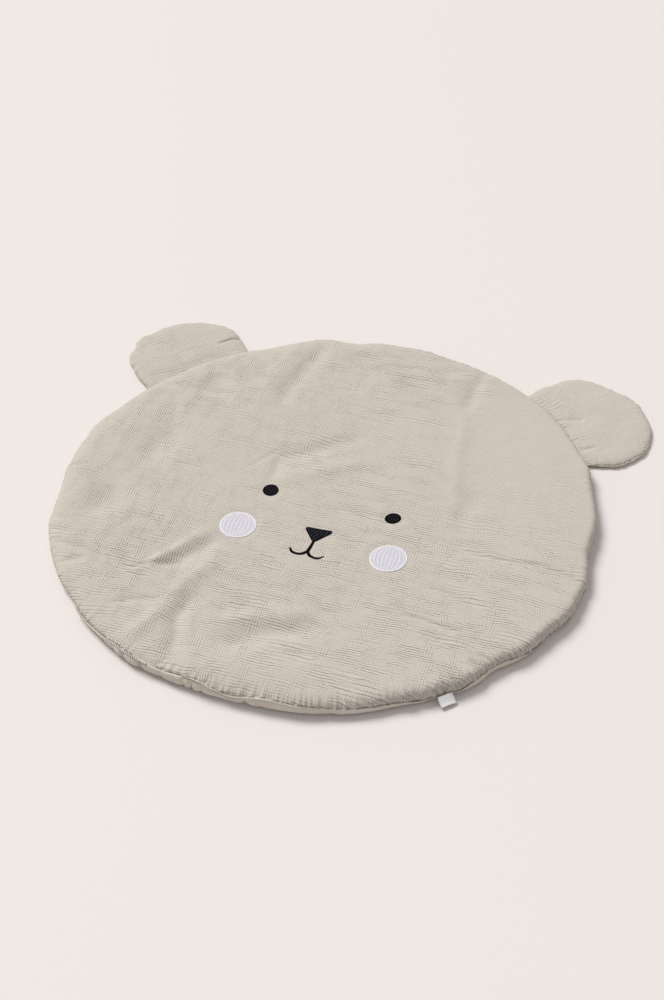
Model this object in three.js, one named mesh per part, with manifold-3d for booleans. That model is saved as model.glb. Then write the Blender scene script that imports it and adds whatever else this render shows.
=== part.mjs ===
// A floor play mat in the shape of a bear's head: a crinkled gauze front with its wadding, a smooth
// cotton back, two flat ears, an embroidered face, a folded ribbon label and a zip along the lower seam.
// Millimetres, +Z up. The origin is on the floor under the head's middle, with +Y towards the forehead.
import * as THREE from 'three';
import { mergeVertices } from 'three/addons/utils/BufferGeometryUtils.js';
import Module from 'manifold-3d';

const wasm = await Module();
wasm.setup();

// Driving dimensions
const pieceGap = 0.3;

// Between the head's rim and what is caught in its seam
const rootGap = 0.7;

// Points closer than this are one point
const weldDistance = 1e-3;
const headThickness = 31;
const backClothThickness = 2;
const earThickness = 13;
const earRootThickness = 8;
const earRootLift = 7;
const earRootReach = 55;
const stitchHeight = 1.2;
const roundness = 2.5;

// The turn round the rim, in degrees, by which the back cloth's edge stays under the front's
const seamParting = 1.2;

// How a pad's rim is rounded: the widest line's height as a share of the thickness, and how far the
// rounding runs in over the top and under the bottom
const headRim = { widestShare: 0.39, topRun: 70, bottomRun: 26 };
const earRim = { widestShare: 0.42, topRun: 34, bottomRun: 14 };

// The head's outline: the reach from the origin by bearing, counted from +X towards +Y
const headOutline = [
  { bearing: 0, reach: 468 },
  { bearing: 15, reach: 474 },
  { bearing: 30, reach: 478 },
  { bearing: 45, reach: 480 },
  { bearing: 60, reach: 474 },
  { bearing: 75, reach: 467 },
  { bearing: 90, reach: 463 },
  { bearing: 105, reach: 462 },
  { bearing: 120, reach: 460 },
  { bearing: 135, reach: 463 },
  { bearing: 150, reach: 473 },
  { bearing: 165, reach: 484 },
  { bearing: 180, reach: 496 },
  { bearing: 195, reach: 498 },
  { bearing: 210, reach: 505 },
  { bearing: 225, reach: 500 },
  { bearing: 240, reach: 492 },
  { bearing: 255, reach: 479 },
  { bearing: 270, reach: 470 },
  { bearing: 285, reach: 470 },
  { bearing: 300, reach: 467 },
  { bearing: 315, reach: 470 },
  { bearing: 330, reach: 470 },
  { bearing: 345, reach: 480 },
];

// Puckers and bulges of the seam: how far the rim stands out or draws in around a bearing
const headPuckers = [
  { bearing: 9, width: 4, depth: 5 },
  { bearing: 19, width: 3, depth: -3 },
  { bearing: 83, width: 5, depth: 4 },
  { bearing: 100, width: 4, depth: -8 },
  { bearing: 109, width: 4, depth: 7 },
  { bearing: 123, width: 4, depth: -4 },
  { bearing: 172, width: 4, depth: 5 },
  { bearing: 192, width: 4, depth: -3 },
  { bearing: 203, width: 4, depth: 4 },
  { bearing: 224, width: 4, depth: -4 },
  { bearing: 320, width: 5, depth: -12 },
  { bearing: 352, width: 4, depth: 5 },
];

// The seam's turn up the rim's curve in degrees, 0 at the widest line: along the lower edge the back
// cloth rolls up into view
const headSeam = [
  { bearing: 0, turn: -4 },
  { bearing: 60, turn: 0 },
  { bearing: 200, turn: 0 },
  { bearing: 228, turn: 2 },
  { bearing: 240, turn: 8 },
  { bearing: 250, turn: 18 },
  { bearing: 259, turn: 33 },
  { bearing: 266, turn: 16 },
  { bearing: 273, turn: 32 },
  { bearing: 281, turn: 21 },
  { bearing: 290, turn: 12 },
  { bearing: 300, turn: 4 },
  { bearing: 310, turn: -8 },
  { bearing: 321, turn: 2 },
  { bearing: 332, turn: -10 },
];

// The front's main folds: soft ridges (height above 0) and troughs (below 0) along straight runs
const headFolds = [
  { from: [-150, 430], to: [-180, 205], width: 30, height: -4 },
  { from: [-205, 400], to: [-225, 230], width: 34, height: 2.5 },
  { from: [180, 390], to: [205, 120], width: 26, height: 2.5 },
  { from: [205, 120], to: [238, -10], width: 26, height: 2.5 },
  { from: [-60, 388], to: [180, 388], width: 30, height: -2 },
  { from: [0, 158], to: [-130, 72], width: 30, height: -4.5 },
  { from: [25, 100], to: [-75, 45], width: 34, height: 3 },
  { from: [-150, -150], to: [-255, -256], width: 26, height: -7 },
  { from: [-115, -185], to: [-212, -285], width: 30, height: 5 },
  { from: [-205, -165], to: [-290, -235], width: 30, height: 3.5 },
  { from: [-160, -296], to: [-162, -400], width: 24, height: -5 },
  { from: [-214, -312], to: [-240, -384], width: 24, height: 4 },
  { from: [-126, -372], to: [-70, -320], width: 30, height: 3.5 },
  { from: [-62, -364], to: [48, -310], width: 30, height: -4.5 },
  { from: [-362, 80], to: [-350, 20], width: 44, height: -3 },
  { from: [-424, -90], to: [-412, -130], width: 44, height: -3 },
  { from: [250, -76], to: [440, -64], width: 20, height: -2 },
  { from: [196, -240], to: [272, -246], width: 20, height: -2 },
  { from: [-440, -240], to: [-215, -235], width: 20, height: -2 },
];

const leftEar = {
  centre: [-372, 322],
  outline: [
    { bearing: 0, reach: 92 },
    { bearing: 30, reach: 98 },
    { bearing: 60, reach: 107 },
    { bearing: 90, reach: 123 },
    { bearing: 120, reach: 128 },
    { bearing: 150, reach: 137 },
    { bearing: 165, reach: 149 },
    { bearing: 180, reach: 145 },
    { bearing: 195, reach: 144 },
    { bearing: 225, reach: 129 },
    { bearing: 240, reach: 136 },
    { bearing: 270, reach: 120 },
    { bearing: 300, reach: 95 },
    { bearing: 330, reach: 90 },
  ],
  puckers: [
    { bearing: 162, width: 5, depth: 3 },
    { bearing: 66, width: 5, depth: -3 },
  ],
  seam: [{ bearing: 0, turn: 0 }, { bearing: 180, turn: 0 }],
  folds: [
    { from: [-318, 406], to: [-352, 376], width: 9, height: -3.5 },
    { from: [-440, 350], to: [-380, 300], width: 30, height: -2.5 },
    { from: [-470, 280], to: [-400, 240], width: 24, height: 1.5 },
  ],
};

const rightEar = {
  centre: [372, 322],
  outline: [
    { bearing: 0, reach: 155 },
    { bearing: 15, reach: 163 },
    { bearing: 30, reach: 166 },
    { bearing: 45, reach: 168 },
    { bearing: 60, reach: 162 },
    { bearing: 90, reach: 155 },
    { bearing: 120, reach: 126 },
    { bearing: 150, reach: 110 },
    { bearing: 180, reach: 95 },
    { bearing: 225, reach: 90 },
    { bearing: 270, reach: 95 },
    { bearing: 305, reach: 104 },
    { bearing: 330, reach: 131 },
    { bearing: 345, reach: 144 },
  ],
  puckers: [{ bearing: 350, width: 6, depth: 2 }],
  seam: [{ bearing: 0, turn: 6 }, { bearing: 180, turn: 0 }, { bearing: 300, turn: 8 }],
  folds: [
    { from: [380, 348], to: [430, 372], width: 20, height: -2.5 },
    { from: [372, 300], to: [440, 322], width: 18, height: 1.5 },
  ],
};

// The face: places on the front, seen from above
const eyes = [
  { name: 'eye_left', centre: [-109, -19], width: 27, height: 29 },
  { name: 'eye_right', centre: [121, -27], width: 27, height: 28 },
];
const cheeks = [
  { name: 'cheek_left', centre: [-137, -118], width: 66, height: 66 },
  { name: 'cheek_right', centre: [138, -123], width: 64, height: 66 },
];
const noseCorners = { left: [-18, -92], right: [27, -90], bottom: [3, -119.5], rounding: 7 };
const mouthStem = { top: [3, -117.2], foot: [-1, -147], width: 4.6 };
const smileArcs = [
  { end: [-35, -146], join: [-1, -146], depth: 11, width: 4 },
  { end: [31, -147], join: [-1, -146], depth: 11, width: 4 },
];

// The ribbon label: where it leaves the seam, which way it points, and its cut
const label = {
  bearing: 308.6,
  heading: -48,
  drop: 20,
  height: 10,
  width: 27,
  length: 21,
  tape: 0.7,
  fold: 1,
};

// The zip, between two bearings: the coil that shows, and the folded strip over the rest. The edges
// are turns from the seam, the sides are distances off the cloth, and the strip's lower edge waves.
const zipChain = { from: 232, to: 249, steps: 11, upper: -3, lower: -24, near: 0.3, far: 1.9 };
const zipFlap = { from: 256.5, to: 283, steps: 12, upper: 5, lower: -13, near: 0.4, far: 1.8 };
const flapWave = { depth: 4, turnsPerDegree: 14 };

// How finely the pads are divided
const headSteps = { turns: 90, floor: 2, under: 4, over: 5, top: 14 };
const earSteps = { turns: 36, floor: 1, under: 3, over: 4, top: 4 };

const radians = THREE.MathUtils.degToRad;

function material(color, roughness) {
  return new THREE.MeshStandardMaterial({ color, roughness, metalness: 0 });
}

const finishes = {
  gauze: material(0xcdc4ba, 0.92),
  backCloth: material(0xc9bdb2, 0.85),
  blackThread: material(0x1b1c20, 0.45),
  whiteThread: material(0xe9e4ec, 0.5),
  ribbon: material(0xf2f0ee, 0.7),
  zipCoil: material(0xd8cfc4, 0.5),
};

// Reads a table's column at any bearing, as a smooth curve that closes on itself
function readTable(rows, column, bearing) {
  const turn = ((bearing % 360) + 360) % 360;
  const count = rows.length;
  let index = count - 1;
  while (index > 0 && rows[index].bearing > turn) index -= 1;
  const row = (step) => rows[(index + step + count) % count];
  const place = (step) => row(step).bearing + 360 * Math.floor((index + step) / count);
  const rise = (step) => row(step + 1)[column] - row(step - 1)[column];
  const slope = (step) => rise(step) / (place(step + 1) - place(step - 1));
  const span = place(1) - place(0);
  const t = (turn - place(0)) / span;
  const t2 = t * t;
  const t3 = t2 * t;
  return (
    row(0)[column] * (2 * t3 - 3 * t2 + 1) +
    row(1)[column] * (3 * t2 - 2 * t3) +
    slope(0) * span * (t3 - 2 * t2 + t) +
    slope(1) * span * (t3 - t2)
  );
}

function bell(distance, width) {
  return Math.exp(-((distance / width) ** 2));
}

// The shortest angle between two bearings
function bearingApart(one, other) {
  return ((((one - other) % 360) + 540) % 360) - 180;
}

function reachOf(pad, bearing) {
  const puckers = pad.puckers.map((row) => row.depth * bell(bearingApart(bearing, row.bearing), row.width));
  return readTable(pad.outline, 'reach', bearing) + puckers.reduce((sum, depth) => sum + depth, 0);
}

function foldHeight(folds, x, y) {
  let height = 0;
  for (const fold of folds) {
    const run = new THREE.Vector2(fold.to[0] - fold.from[0], fold.to[1] - fold.from[1]);
    const offset = new THREE.Vector2(x - fold.from[0], y - fold.from[1]);
    const along = THREE.MathUtils.clamp(offset.dot(run) / run.lengthSq(), 0, 1);
    const distance = offset.addScaledVector(run, -along).length();
    height += fold.height * bell(distance, fold.width);
  }
  return height;
}

const head = {
  centre: [0, 0],
  outline: headOutline,
  puckers: headPuckers,
  seam: headSeam,
  rim: headRim,
  steps: headSteps,
  floorAt: () => 0,
  topAt: (x, y) => headThickness + foldHeight(headFolds, x, y),
};

// How close a place on an ear is to its root: 1 at the head's rim, 0 beyond the root's reach
function rootShare(x, y) {
  const bearing = THREE.MathUtils.radToDeg(Math.atan2(y, x));
  const away = Math.hypot(x, y) - reachOf(head, bearing);
  return 1 - THREE.MathUtils.smoothstep(away, 0, earRootReach);
}

function earPad(ear) {
  return {
    ...ear,
    rim: earRim,
    steps: earSteps,
    floorAt: (x, y) => earRootLift * rootShare(x, y),
    topAt(x, y) {
      const share = rootShare(x, y);
      const thickness = THREE.MathUtils.lerp(earThickness, earRootThickness, share);
      return earRootLift * share + thickness + foldHeight(ear.folds, x, y) * (1 - share);
    },
  };
}

// One point of a pad's section at a bearing: the height of the widest line comes from the pad's floor
// and top there, and the turn runs from -90 at the floor through 0 at the widest line to 90 at the top.
// A shrink above 0 gives the same curve inside the cloth, and one below 0 outside it.
function sectionPoint(pad, bearing, turn, shrink = 0) {
  const upper = turn > 0;
  const run = (upper ? pad.rim.topRun : pad.rim.bottomRun) - shrink;
  const angle = radians(Math.abs(turn));
  const middle = reachOf(pad, bearing) - (upper ? pad.rim.topRun : pad.rim.bottomRun);
  const radius = middle + run * Math.abs(Math.cos(angle)) ** (2 / roundness);
  const [x, y] = placeAt(pad, bearing, radius);
  const floor = pad.floorAt(x, y);
  const top = pad.topAt(x, y);
  const widest = floor + pad.rim.widestShare * (top - floor);
  const rise = Math.abs(Math.sin(angle)) ** (2 / roundness);
  const height = upper ? widest + (top - widest - shrink) * rise : widest - (widest - floor - shrink) * rise;
  return { radius, height };
}

function placeAt(pad, bearing, radius) {
  const angle = radians(bearing);
  return [pad.centre[0] + radius * Math.cos(angle), pad.centre[1] + radius * Math.sin(angle)];
}

function evenSteps(from, to, count) {
  return Array.from({ length: count + 1 }, (_, index) => from + ((to - from) * index) / count);
}

// The stretch of a section from the pad's centre line out to where the lower rounding starts
function floorPoints(pad, bearing, shrink) {
  const edge = reachOf(pad, bearing) - pad.rim.bottomRun;
  return evenSteps(0, edge, pad.steps.floor).slice(0, -1).map((radius) => {
    const [x, y] = placeAt(pad, bearing, radius);
    return { radius, height: pad.floorAt(x, y) + shrink };
  });
}

// The lower rounding, from the floor up to the seam or to a little below it
function underPoints(pad, bearing, shrink, below = 0) {
  const seam = readTable(pad.seam, 'turn', bearing);
  const turns = [...evenSteps(-90, seam, pad.steps.under).slice(0, -1), seam - below];
  return turns.map((turn) => sectionPoint(pad, bearing, turn, shrink));
}

function overPoints(pad, bearing) {
  const seam = readTable(pad.seam, 'turn', bearing);
  return evenSteps(seam, 90, pad.steps.over).map((turn) => sectionPoint(pad, bearing, turn));
}

function topPoints(pad, bearing) {
  const edge = reachOf(pad, bearing) - pad.rim.topRun;
  return evenSteps(edge, 0, pad.steps.top).slice(1).map((radius) => {
    const [x, y] = placeAt(pad, bearing, radius);
    return { radius, height: pad.topAt(x, y) };
  });
}

// The front and its filling: up inside the back cloth, out over its edge at the seam, and over the top
function frontSection(pad, bearing) {
  const inset = backClothThickness + pieceGap;
  return [
    ...floorPoints(pad, bearing, inset),
    ...underPoints(pad, bearing, inset),
    ...overPoints(pad, bearing),
    ...topPoints(pad, bearing),
  ];
}

// The back cloth: out along the floor, up to the seam, and back down its inner side
function backSection(pad, bearing) {
  return [
    ...floorPoints(pad, bearing, 0),
    ...underPoints(pad, bearing, 0, seamParting),
    ...underPoints(pad, bearing, backClothThickness, seamParting).reverse(),
    ...floorPoints(pad, bearing, backClothThickness).reverse(),
  ];
}

// A body turned round a pad's centre line, with its section worked out afresh at each bearing
function turnedBody(pad, sectionAt) {
  const turns = pad.steps.turns;
  const profile = sectionAt(pad, 0).map((point) => new THREE.Vector2(point.radius, point.height));
  const geometry = new THREE.LatheGeometry(profile, turns);
  const position = geometry.attributes.position;
  for (let turn = 0; turn <= turns; turn += 1) {
    const bearing = ((turn % turns) * 360) / turns;
    sectionAt(pad, bearing).forEach((point, step) => {
      const [x, y] = point.radius === 0 ? pad.centre : placeAt(pad, bearing, point.radius);
      position.setXYZ(turn * profile.length + step, x, y, point.height);
    });
  }
  return geometry;
}

// The back cloth's inner side runs backwards, so its faces are split along the other diagonal and lie
// flat against the front's
function turnedCloth(pad) {
  const geometry = turnedBody(pad, backSection);
  const points = backSection(pad, 0).length;
  const index = geometry.index.array;
  for (let turn = 0; turn < pad.steps.turns; turn += 1) {
    for (let step = points / 2; step < points - 1; step += 1) {
      const a = turn * points + step;
      const b = a + points;
      index.set([a, b, b + 1, a, b + 1, a + 1], 6 * (turn * (points - 1) + step));
    }
  }
  return geometry;
}

function solidOf(geometry) {
  const bare = geometry.clone();
  bare.deleteAttribute('normal');
  bare.deleteAttribute('uv');
  const merged = mergeVertices(bare, weldDistance);
  const index = merged.index.array;
  const corners = [];
  for (let face = 0; face < index.length; face += 3) {
    const [a, b, c] = index.slice(face, face + 3);
    if (a !== b && b !== c && c !== a) corners.push(a, b, c);
  }
  const vertProperties = Float32Array.from(merged.attributes.position.array);
  const triVerts = Uint32Array.from(corners);
  return new wasm.Manifold(new wasm.Mesh({ numProp: 3, vertProperties, triVerts }));
}

function geometryOf(solid) {
  const mesh = solid.getMesh();
  const geometry = new THREE.BufferGeometry();
  geometry.setAttribute('position', new THREE.BufferAttribute(mesh.vertProperties, 3));
  geometry.setIndex(new THREE.BufferAttribute(mesh.triVerts, 1));
  return geometry;
}

const mat = new THREE.Group();

function addPiece(name, geometry, finish) {
  const piece = new THREE.Mesh(geometry, finish);
  piece.name = name;
  mat.add(piece);
}

// The head
const frontPanel = solidOf(turnedBody(head, frontSection));
addPiece('front_panel', geometryOf(frontPanel), finishes.gauze);
addPiece('back_panel', geometryOf(solidOf(turnedCloth(head))), finishes.backCloth);

// The ears, cut off where their roots meet the head's rim
function headWithGap(pad, bearing) {
  const out = (point) => ({ radius: point.radius + rootGap, height: point.height });
  return [
    { radius: 0, height: -1 },
    { radius: reachOf(pad, bearing) - pad.rim.bottomRun, height: -1 },
    ...evenSteps(-90, 0, pad.steps.under).slice(1).map((turn) => out(sectionPoint(pad, bearing, turn))),
    { radius: reachOf(pad, bearing) + rootGap, height: headThickness },
    { radius: 0, height: headThickness },
  ];
}

const headBlock = solidOf(turnedBody(head, headWithGap));
for (const [side, ear] of [['left', leftEar], ['right', rightEar]]) {
  const pad = earPad(ear);
  const front = solidOf(turnedBody(pad, frontSection)).subtract(headBlock);
  const back = solidOf(turnedCloth(pad)).subtract(headBlock);
  addPiece(`ear_${side}`, geometryOf(front), finishes.gauze);
  addPiece(`ear_${side}_back`, geometryOf(back), finishes.backCloth);
}

// Embroidery: a low layer of thread that follows the front, inside a drawn outline
function stitchedLayer(outlines) {
  const cut = { depth: headThickness * 2, bevelEnabled: false, curveSegments: 10 };
  const blanks = outlines.map((shape) => solidOf(new THREE.ExtrudeGeometry(shape, cut)));
  const blank = blanks.reduce((whole, next) => whole.add(next));
  const raised = frontPanel.translate([0, 0, pieceGap + stitchHeight]);
  return blank.intersect(raised).subtract(frontPanel.translate([0, 0, pieceGap]));
}

function oval({ centre, width, height }) {
  return new THREE.Shape().absellipse(centre[0], centre[1], width / 2, height / 2, 0, Math.PI * 2);
}

// A nearly flat-topped triangle with round corners
function noseShape({ left, right, bottom, rounding }) {
  const corners = [left, bottom, right].map(([x, y]) => new THREE.Vector2(x, y));
  const shape = new THREE.Shape();
  corners.forEach((corner, index) => {
    const before = corners[(index + 2) % 3];
    const after = corners[(index + 1) % 3];
    const enter = corner.clone().add(before.clone().sub(corner).setLength(rounding));
    const leave = corner.clone().add(after.clone().sub(corner).setLength(rounding));
    if (index === 0) shape.moveTo(enter.x, enter.y);
    else shape.lineTo(enter.x, enter.y);
    shape.quadraticCurveTo(corner.x, corner.y, leave.x, leave.y);
  });
  return shape;
}

// A narrow line of satin stitch along a curve, drawn as the curve's two sides
function threadLine(curve, width, steps) {
  const side = (sign) => evenSteps(0, 1, steps).map((t) => {
    const tangent = curve.getTangent(t);
    const across = new THREE.Vector2(-tangent.y, tangent.x);
    return curve.getPoint(t).addScaledVector(across, (sign * width) / 2);
  });
  return new THREE.Shape([...side(-1), ...side(1).reverse()]);
}

function addStitching(name, outlines, thread) {
  addPiece(name, geometryOf(stitchedLayer(outlines)), thread);
}

for (const eye of eyes) addStitching(eye.name, [oval(eye)], finishes.blackThread);
for (const cheek of cheeks) addStitching(cheek.name, [oval(cheek)], finishes.whiteThread);

const stemTop = new THREE.Vector2(...mouthStem.top);
const stemLine = new THREE.LineCurve(stemTop, new THREE.Vector2(...mouthStem.foot));
const smileLines = smileArcs.map(({ end, join, depth, width }) => {
  const pull = (4 / 3) * depth;
  const start = new THREE.Vector2(...end);
  const finish = new THREE.Vector2(...join);
  const first = new THREE.Vector2(start.x, start.y - pull);
  const second = new THREE.Vector2(THREE.MathUtils.lerp(finish.x, start.x, 0.25), finish.y - pull);
  return threadLine(new THREE.CubicBezierCurve(start, first, second, finish), width, 10);
});
addStitching('nose', [noseShape(noseCorners)], finishes.blackThread);
addStitching('mouth', [threadLine(stemLine, mouthStem.width, 1), ...smileLines], finishes.blackThread);

// The label: a ribbon folded double, its two cut ends towards the seam
function ribbonLoop({ length, tape, fold, width }) {
  const outer = tape + fold / 2;
  const shape = new THREE.Shape();
  shape.moveTo(0, -outer);
  shape.lineTo(length - outer, -outer);
  shape.absarc(length - outer, 0, outer, -Math.PI / 2, Math.PI / 2, false);
  shape.lineTo(0, outer);
  shape.lineTo(0, fold / 2);
  shape.lineTo(length - outer, fold / 2);
  shape.absarc(length - outer, 0, fold / 2, Math.PI / 2, -Math.PI / 2, true);
  shape.lineTo(0, -fold / 2);
  return new THREE.ExtrudeGeometry(shape, { depth: width, bevelEnabled: false, curveSegments: 6 });
}

const labelGeometry = ribbonLoop(label);
labelGeometry.translate(0, 0, -label.width / 2);
labelGeometry.rotateX(Math.PI / 2);
labelGeometry.rotateY(radians(label.drop));
labelGeometry.rotateZ(radians(label.heading));
const [labelX, labelY] = placeAt(head, label.bearing, reachOf(head, label.bearing) - 1);
labelGeometry.translate(labelX, labelY, label.height);
addPiece('label', geometryOf(solidOf(labelGeometry).subtract(headBlock)), finishes.ribbon);

// A strip that runs along the seam, between two turns up the rim and two distances off it
function seamStrip(strip, lowerAt) {
  const rings = evenSteps(strip.from, strip.to, strip.steps).map((bearing) => {
    const seam = readTable(head.seam, 'turn', bearing);
    const lower = seam + lowerAt(bearing);
    const upper = seam + strip.upper;
    const middle = (lower + upper) / 2;
    const inward = [upper, middle, lower].map((turn) => [turn, strip.near]);
    const outward = [lower, middle, upper].map((turn) => [turn, strip.far]);
    return [...inward, ...outward].map(([turn, off]) => {
      const { radius, height } = sectionPoint(head, bearing, turn, -off);
      return [...placeAt(head, bearing, radius), height];
    });
  });
  const sides = rings[0].length;
  const corners = [];
  for (let ring = 1; ring < rings.length; ring += 1) {
    for (let side = 0; side < sides; side += 1) {
      const a = (ring - 1) * sides + side;
      const b = (ring - 1) * sides + ((side + 1) % sides);
      corners.push(a, a + sides, b, b, a + sides, b + sides);
    }
  }
  const last = (rings.length - 1) * sides;
  for (let side = 1; side < sides - 1; side += 1) {
    corners.push(0, side, side + 1, last, last + side + 1, last + side);
  }
  const geometry = new THREE.BufferGeometry();
  geometry.setAttribute('position', new THREE.BufferAttribute(new Float32Array(rings.flat(2)), 3));
  geometry.setIndex(corners);
  return geometry;
}

function flapEdge(bearing) {
  const wave = Math.sin(radians((bearing - zipFlap.from) * flapWave.turnsPerDegree));
  return zipFlap.lower - flapWave.depth * wave;
}

addPiece('zip_chain', seamStrip(zipChain, () => zipChain.lower), finishes.zipCoil);
addPiece('zip_flap', seamStrip(zipFlap, flapEdge), finishes.gauze);

export default mat;
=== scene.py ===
import math
from collections import namedtuple

import bmesh
import bpy
import numpy as np
from mathutils import Euler, Matrix, Vector, noise


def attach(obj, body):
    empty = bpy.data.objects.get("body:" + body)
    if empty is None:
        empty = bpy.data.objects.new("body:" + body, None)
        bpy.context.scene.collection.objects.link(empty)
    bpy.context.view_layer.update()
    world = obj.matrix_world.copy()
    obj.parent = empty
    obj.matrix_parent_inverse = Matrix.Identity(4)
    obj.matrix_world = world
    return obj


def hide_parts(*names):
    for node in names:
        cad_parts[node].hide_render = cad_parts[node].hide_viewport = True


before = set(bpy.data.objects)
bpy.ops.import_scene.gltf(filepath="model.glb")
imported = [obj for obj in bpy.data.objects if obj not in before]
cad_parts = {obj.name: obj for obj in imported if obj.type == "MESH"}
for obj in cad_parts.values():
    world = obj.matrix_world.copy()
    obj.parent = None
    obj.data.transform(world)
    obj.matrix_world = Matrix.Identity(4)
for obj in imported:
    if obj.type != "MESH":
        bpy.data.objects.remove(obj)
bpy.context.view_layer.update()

# The head's front is one round of crinkled double gauze over wadding, just under a metre across and
# 31 mm thick. The round is cut by the reach table, eased into the seam in small gathers, and lies on
# the floor in soft folds.

# How far the head reaches from its middle, by bearing in degrees from +X towards +Y
head_reach_rows = [
    (0, 0.468), (15, 0.474), (30, 0.478), (45, 0.48), (60, 0.474), (75, 0.467),
    (90, 0.463), (105, 0.462), (120, 0.46), (135, 0.463), (150, 0.473), (165, 0.484),
    (180, 0.496), (195, 0.498), (210, 0.505), (225, 0.5), (240, 0.492), (255, 0.479),
    (270, 0.47), (285, 0.47), (300, 0.467), (315, 0.47), (330, 0.47), (345, 0.48),
]

# Where the seam draws in or stands out: bearing, width in degrees, depth
head_puckers = [
    (9, 4, 0.005), (19, 3, -0.001), (25, 4, 0.005), (83, 5, 0.004), (100, 4, -0.008), (109, 4, 0.007),
    (123, 4, -0.004), (172, 4, 0.005), (192, 4, -0.003), (203, 4, 0.004), (224, 4, -0.004),
    (244, 4, 0.004), (313, 4, 0.003), (320.5, 3, -0.005), (330, 5, 0.006), (341, 5, 0.005),
    (352, 4, 0.005),
]

# The seam's turn up the rim, in degrees from the widest line, by bearing: along the lower edge the back
# cloth rolls up into view
head_seam_rows = [
    (0, -4), (60, 0), (200, 0), (228, 3), (235, 8), (241, 27), (245, 29), (250, 25), (259, 36), (266, 16),
    (273, 32), (281, 21), (290, 12), (300, 4), (310, -6), (317, 14), (325, 9), (333, -10),
]

# How deep the seam's small gathers are, by bearing
gather_rows = [
    (0, 0.0014), (30, 0.0007), (60, 0.0006), (100, 0.0009), (130, 0.0008), (180, 0.0007),
    (215, 0.0011), (240, 0.0014), (270, 0.0018), (300, 0.0022), (318, 0.0025), (335, 0.0024), (350, 0.0016),
]

# Folds, each along a path that it fades out of: places, width, height, which is below 0 in a trough
head_folds = [
    ([(-0.134, 0.43), (-0.14, 0.362), (-0.157, 0.3), (-0.164, 0.205)], 0.017, -0.0042),
    ([(-0.184, 0.4), (-0.198, 0.3), (-0.204, 0.205)], 0.02, 0.0024),
    ([(-0.04, 0.415), (-0.044, 0.33)], 0.026, -0.0008),
    ([(0.191, 0.415), (0.184, 0.35), (0.181, 0.29)], 0.014, -0.0034),
    ([(0.15, 0.4), (0.148, 0.32)], 0.02, 0.0016),
    ([(0.18, 0.29), (0.194, 0.2), (0.2, 0.127), (0.216, 0.054), (0.222, -0.01)], 0.014, 0.0018),
    ([(0.246, 0.07), (0.236, -0.01)], 0.022, -0.0026),
    ([(0.012, 0.162), (-0.05, 0.12), (-0.12, 0.066)], 0.019, -0.0052),
    ([(-0.121, 0.068), (-0.116, 0.038), (-0.12, 0.004)], 0.011, -0.003),
    ([(0.034, 0.094), (-0.05, 0.046), (-0.098, 0.014)], 0.022, 0.0036),
    ([(-0.172, 0.026), (-0.12, 0.102)], 0.006, -0.001),
    ([(-0.31, 0.268), (-0.292, 0.2)], 0.03, -0.0056),
    ([(-0.344, 0.08), (-0.35, 0.005)], 0.03, -0.0082),
    ([(-0.396, -0.085), (-0.392, -0.168)], 0.03, -0.0074),
    ([(-0.158, -0.16), (-0.2, -0.22), (-0.23, -0.252)], 0.013, -0.0046),
    ([(-0.184, -0.152), (-0.226, -0.215), (-0.262, -0.256)], 0.011, 0.0036),
    ([(-0.234, -0.198), (-0.264, -0.25)], 0.008, -0.0014),
    ([(-0.146, -0.205), (-0.175, -0.27), (-0.196, -0.314)], 0.016, 0.0044),
    ([(-0.152, -0.3), (-0.166, -0.346), (-0.149, -0.396), (-0.145, -0.432)], 0.014, -0.0062),
    ([(-0.19, -0.335), (-0.226, -0.412)], 0.015, 0.0046),
    ([(0.066, -0.306), (-0.008, -0.336), (-0.074, -0.382)], 0.021, -0.0062),
    ([(0.04, -0.283), (-0.04, -0.312), (-0.108, -0.35)], 0.016, 0.0034),
    ([(-0.095, -0.425), (0.000, -0.412), (0.11, -0.402)], 0.038, 0.0046),
    ([(-0.445, -0.238), (-0.4, -0.246), (-0.36, -0.252), (-0.309, -0.262)], 0.0055, -0.0022),
    (
        [(-0.309, -0.262), (-0.277, -0.264), (-0.257, -0.25), (-0.23, -0.24), (-0.182, -0.23)],
        0.0055,
        -0.0026,
    ),
    ([(0.212, -0.052), (0.262, -0.072), (0.312, -0.075), (0.385, -0.064)], 0.0046, -0.002),
    ([(0.37, -0.064), (0.435, -0.07), (0.482, -0.092)], 0.0048, -0.003),
    ([(0.19, -0.24), (0.229, -0.237), (0.284, -0.247)], 0.0042, -0.0042),
    ([(0.205, -0.226), (0.25, -0.226)], 0.0045, -0.0016),
    ([(0.238, -0.268), (0.276, -0.274)], 0.0055, -0.0022),
    ([(0.33, -0.287), (0.352, -0.293), (0.37, -0.304)], 0.0036, -0.0044),
    ([(0.322, -0.302), (0.345, -0.309), (0.36, -0.319)], 0.0044, -0.0042),
    ([(0.298, -0.342), (0.32, -0.352), (0.34, -0.363)], 0.0036, -0.0044),
    ([(0.288, -0.363), (0.312, -0.374)], 0.004, -0.004),
    ([(-0.343, 0.008), (-0.3, 0.000), (-0.258, 0.002)], 0.005, -0.0014),
    ([(-0.281, -0.351), (-0.25, -0.332), (-0.206, -0.32)], 0.007, -0.003),
    ([(-0.404, -0.284), (-0.362, -0.266)], 0.007, -0.0028),
    ([(-0.462, -0.21), (-0.416, -0.212)], 0.006, -0.0022),
    ([(-0.47, -0.182), (-0.44, -0.186)], 0.006, -0.0018),
    ([(-0.49, -0.052), (-0.462, -0.05)], 0.006, -0.0016),
    ([(-0.44, 0.205), (-0.374, 0.216), (-0.27, 0.214)], 0.007, -0.0012),
]

head_thickness = 0.031
roundness = 2.8
Rim = namedtuple("Rim", "widest top_run bottom_run")
head_rim = Rim(0.39, 0.07, 0.026)

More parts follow.
